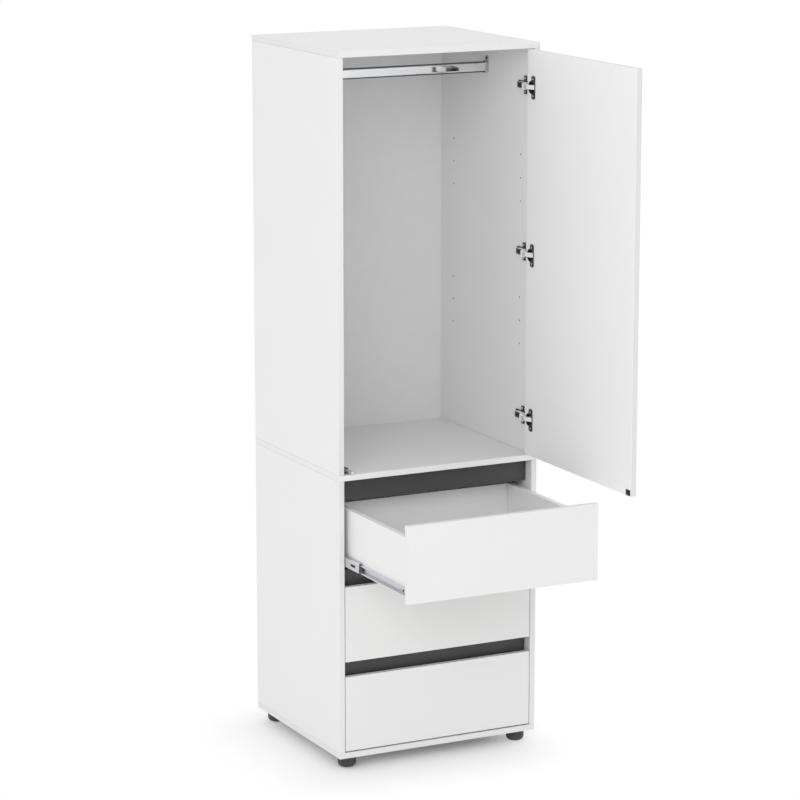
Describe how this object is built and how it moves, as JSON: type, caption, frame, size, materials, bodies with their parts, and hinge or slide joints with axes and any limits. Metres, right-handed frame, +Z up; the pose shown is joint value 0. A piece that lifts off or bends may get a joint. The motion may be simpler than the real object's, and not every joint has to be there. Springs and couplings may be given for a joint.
{
  "type": "wardrobe",
  "caption": "Tall narrow wardrobe of white faced board: hanging space with a garment rail behind a hinged inset door, above inset drawers with recessed dark finger grips, on round feet.",
  "frame": {"origin": "floor level, at the middle of the whole part's box with the door open and the upper drawer pulled out, which is about the middle of the front plane", "axes": "+X to the right seen from the front, +Y towards the back, +Z up"},
  "size_m": [0.6, 1.0982, 1.943],
  "materials": {
    "white_melamine": "satin white melamine facing",
    "white_hardboard": "white painted hardboard",
    "anthracite_melamine": "matt anthracite melamine facing",
    "black_plastic": "moulded black",
    "grey_plastic": "moulded grey",
    "zinc_steel": "zinc-plated rolled steel",
    "nickel_steel": "nickel-plated pressed steel",
    "chrome_steel": "polished chrome plate"
  },
  "bodies": {
    "carcass": {"bottom_panel": "white_melamine", "middle_panel": "white_melamine", "top_panel": "white_melamine", "lower_side_left": "white_melamine", "lower_side_right": "white_melamine", "upper_side_left": "white_melamine", "upper_side_right": "white_melamine", "back_panel": "white_hardboard", "foot_front_left": "black_plastic", "foot_front_right": "black_plastic", "foot_back_left": "black_plastic", "foot_back_right": "black_plastic", "lower_grip_strip": "anthracite_melamine", "middle_grip_strip": "anthracite_melamine", "upper_grip_strip": "anthracite_melamine", "garment_rail": "chrome_steel", "rail_socket_left": "chrome_steel", "rail_socket_right": "chrome_steel", "lower_hinge_arm": "nickel_steel", "middle_hinge_arm": "nickel_steel", "upper_hinge_arm": "nickel_steel", "latch_housing": "black_plastic", "lower_slide_outer_left": "zinc_steel", "lower_slide_outer_right": "zinc_steel", "middle_slide_outer_left": "zinc_steel", "middle_slide_outer_right": "zinc_steel", "upper_slide_outer_left": "zinc_steel", "upper_slide_outer_right": "zinc_steel"},
    "door": {"door_panel": "white_melamine", "lower_hinge_cup": "nickel_steel", "middle_hinge_cup": "nickel_steel", "upper_hinge_cup": "nickel_steel"},
    "latch_plunger": {"latch_plunger": "grey_plastic"},
    "lower_drawer": {"lower_drawer_front": "white_melamine", "lower_drawer_side_left": "white_melamine", "lower_drawer_side_right": "white_melamine", "lower_drawer_back": "white_melamine", "lower_drawer_bottom": "white_hardboard", "lower_slide_inner_left": "zinc_steel", "lower_slide_inner_right": "zinc_steel"},
    "lower_slide_middles": {"lower_slide_middle_left": "zinc_steel", "lower_slide_middle_right": "zinc_steel"},
    "middle_drawer": {"middle_drawer_front": "white_melamine", "middle_drawer_side_left": "white_melamine", "middle_drawer_side_right": "white_melamine", "middle_drawer_back": "white_melamine", "middle_drawer_bottom": "white_hardboard", "middle_slide_inner_left": "zinc_steel", "middle_slide_inner_right": "zinc_steel"},
    "middle_slide_middles": {"middle_slide_middle_left": "zinc_steel", "middle_slide_middle_right": "zinc_steel"},
    "upper_drawer": {"upper_drawer_front": "white_melamine", "upper_drawer_side_left": "white_melamine", "upper_drawer_side_right": "white_melamine", "upper_drawer_back": "white_melamine", "upper_drawer_bottom": "white_hardboard", "upper_slide_inner_left": "zinc_steel", "upper_slide_inner_right": "zinc_steel"},
    "upper_slide_middles": {"upper_slide_middle_left": "zinc_steel", "upper_slide_middle_right": "zinc_steel"}
  },
  "joints": [
    {"name": "door_hinge", "type": "hinge", "parent": "carcass", "child": "door", "pos_m": [0.279, 0.01185, 1.373], "axis": [0, 0, 1], "range_deg": [-90, 20]},
    {"name": "latch_push", "type": "slide", "parent": "carcass", "child": "latch_plunger", "axis": [0, 1, 0], "range_m": [-0.009, 0.0396]},
    {"name": "lower_drawer_slide", "type": "slide", "parent": "carcass", "child": "lower_drawer", "axis": [0, -1, 0], "range_m": [0, 0.45]},
    {"name": "lower_slide_extension", "type": "slide", "parent": "carcass", "child": "lower_slide_middles", "axis": [0, -1, 0], "range_m": [0, 0.1801]},
    {"name": "middle_drawer_slide", "type": "slide", "parent": "carcass", "child": "middle_drawer", "axis": [0, -1, 0], "range_m": [0, 0.45]},
    {"name": "middle_slide_extension", "type": "slide", "parent": "carcass", "child": "middle_slide_middles", "axis": [0, -1, 0], "range_m": [0, 0.1801]},
    {"name": "upper_drawer_slide", "type": "slide", "parent": "carcass", "child": "upper_drawer", "axis": [0, -1, 0], "range_m": [-0.3675, 0.0825]},
    {"name": "upper_slide_extension", "type": "slide", "parent": "carcass", "child": "upper_slide_middles", "axis": [0, -1, 0], "range_m": [-0.1471, 0.0331]}
  ],
  "couplings": [
    {"joint": "latch_push", "follows": "door_hinge", "m_per_rad": -0.0252},
    {"joint": "lower_slide_extension", "follows": "lower_drawer_slide", "ratio": 0.4},
    {"joint": "middle_slide_extension", "follows": "middle_drawer_slide", "ratio": 0.4},
    {"joint": "upper_slide_extension", "follows": "upper_drawer_slide", "ratio": 0.4}
  ]
}
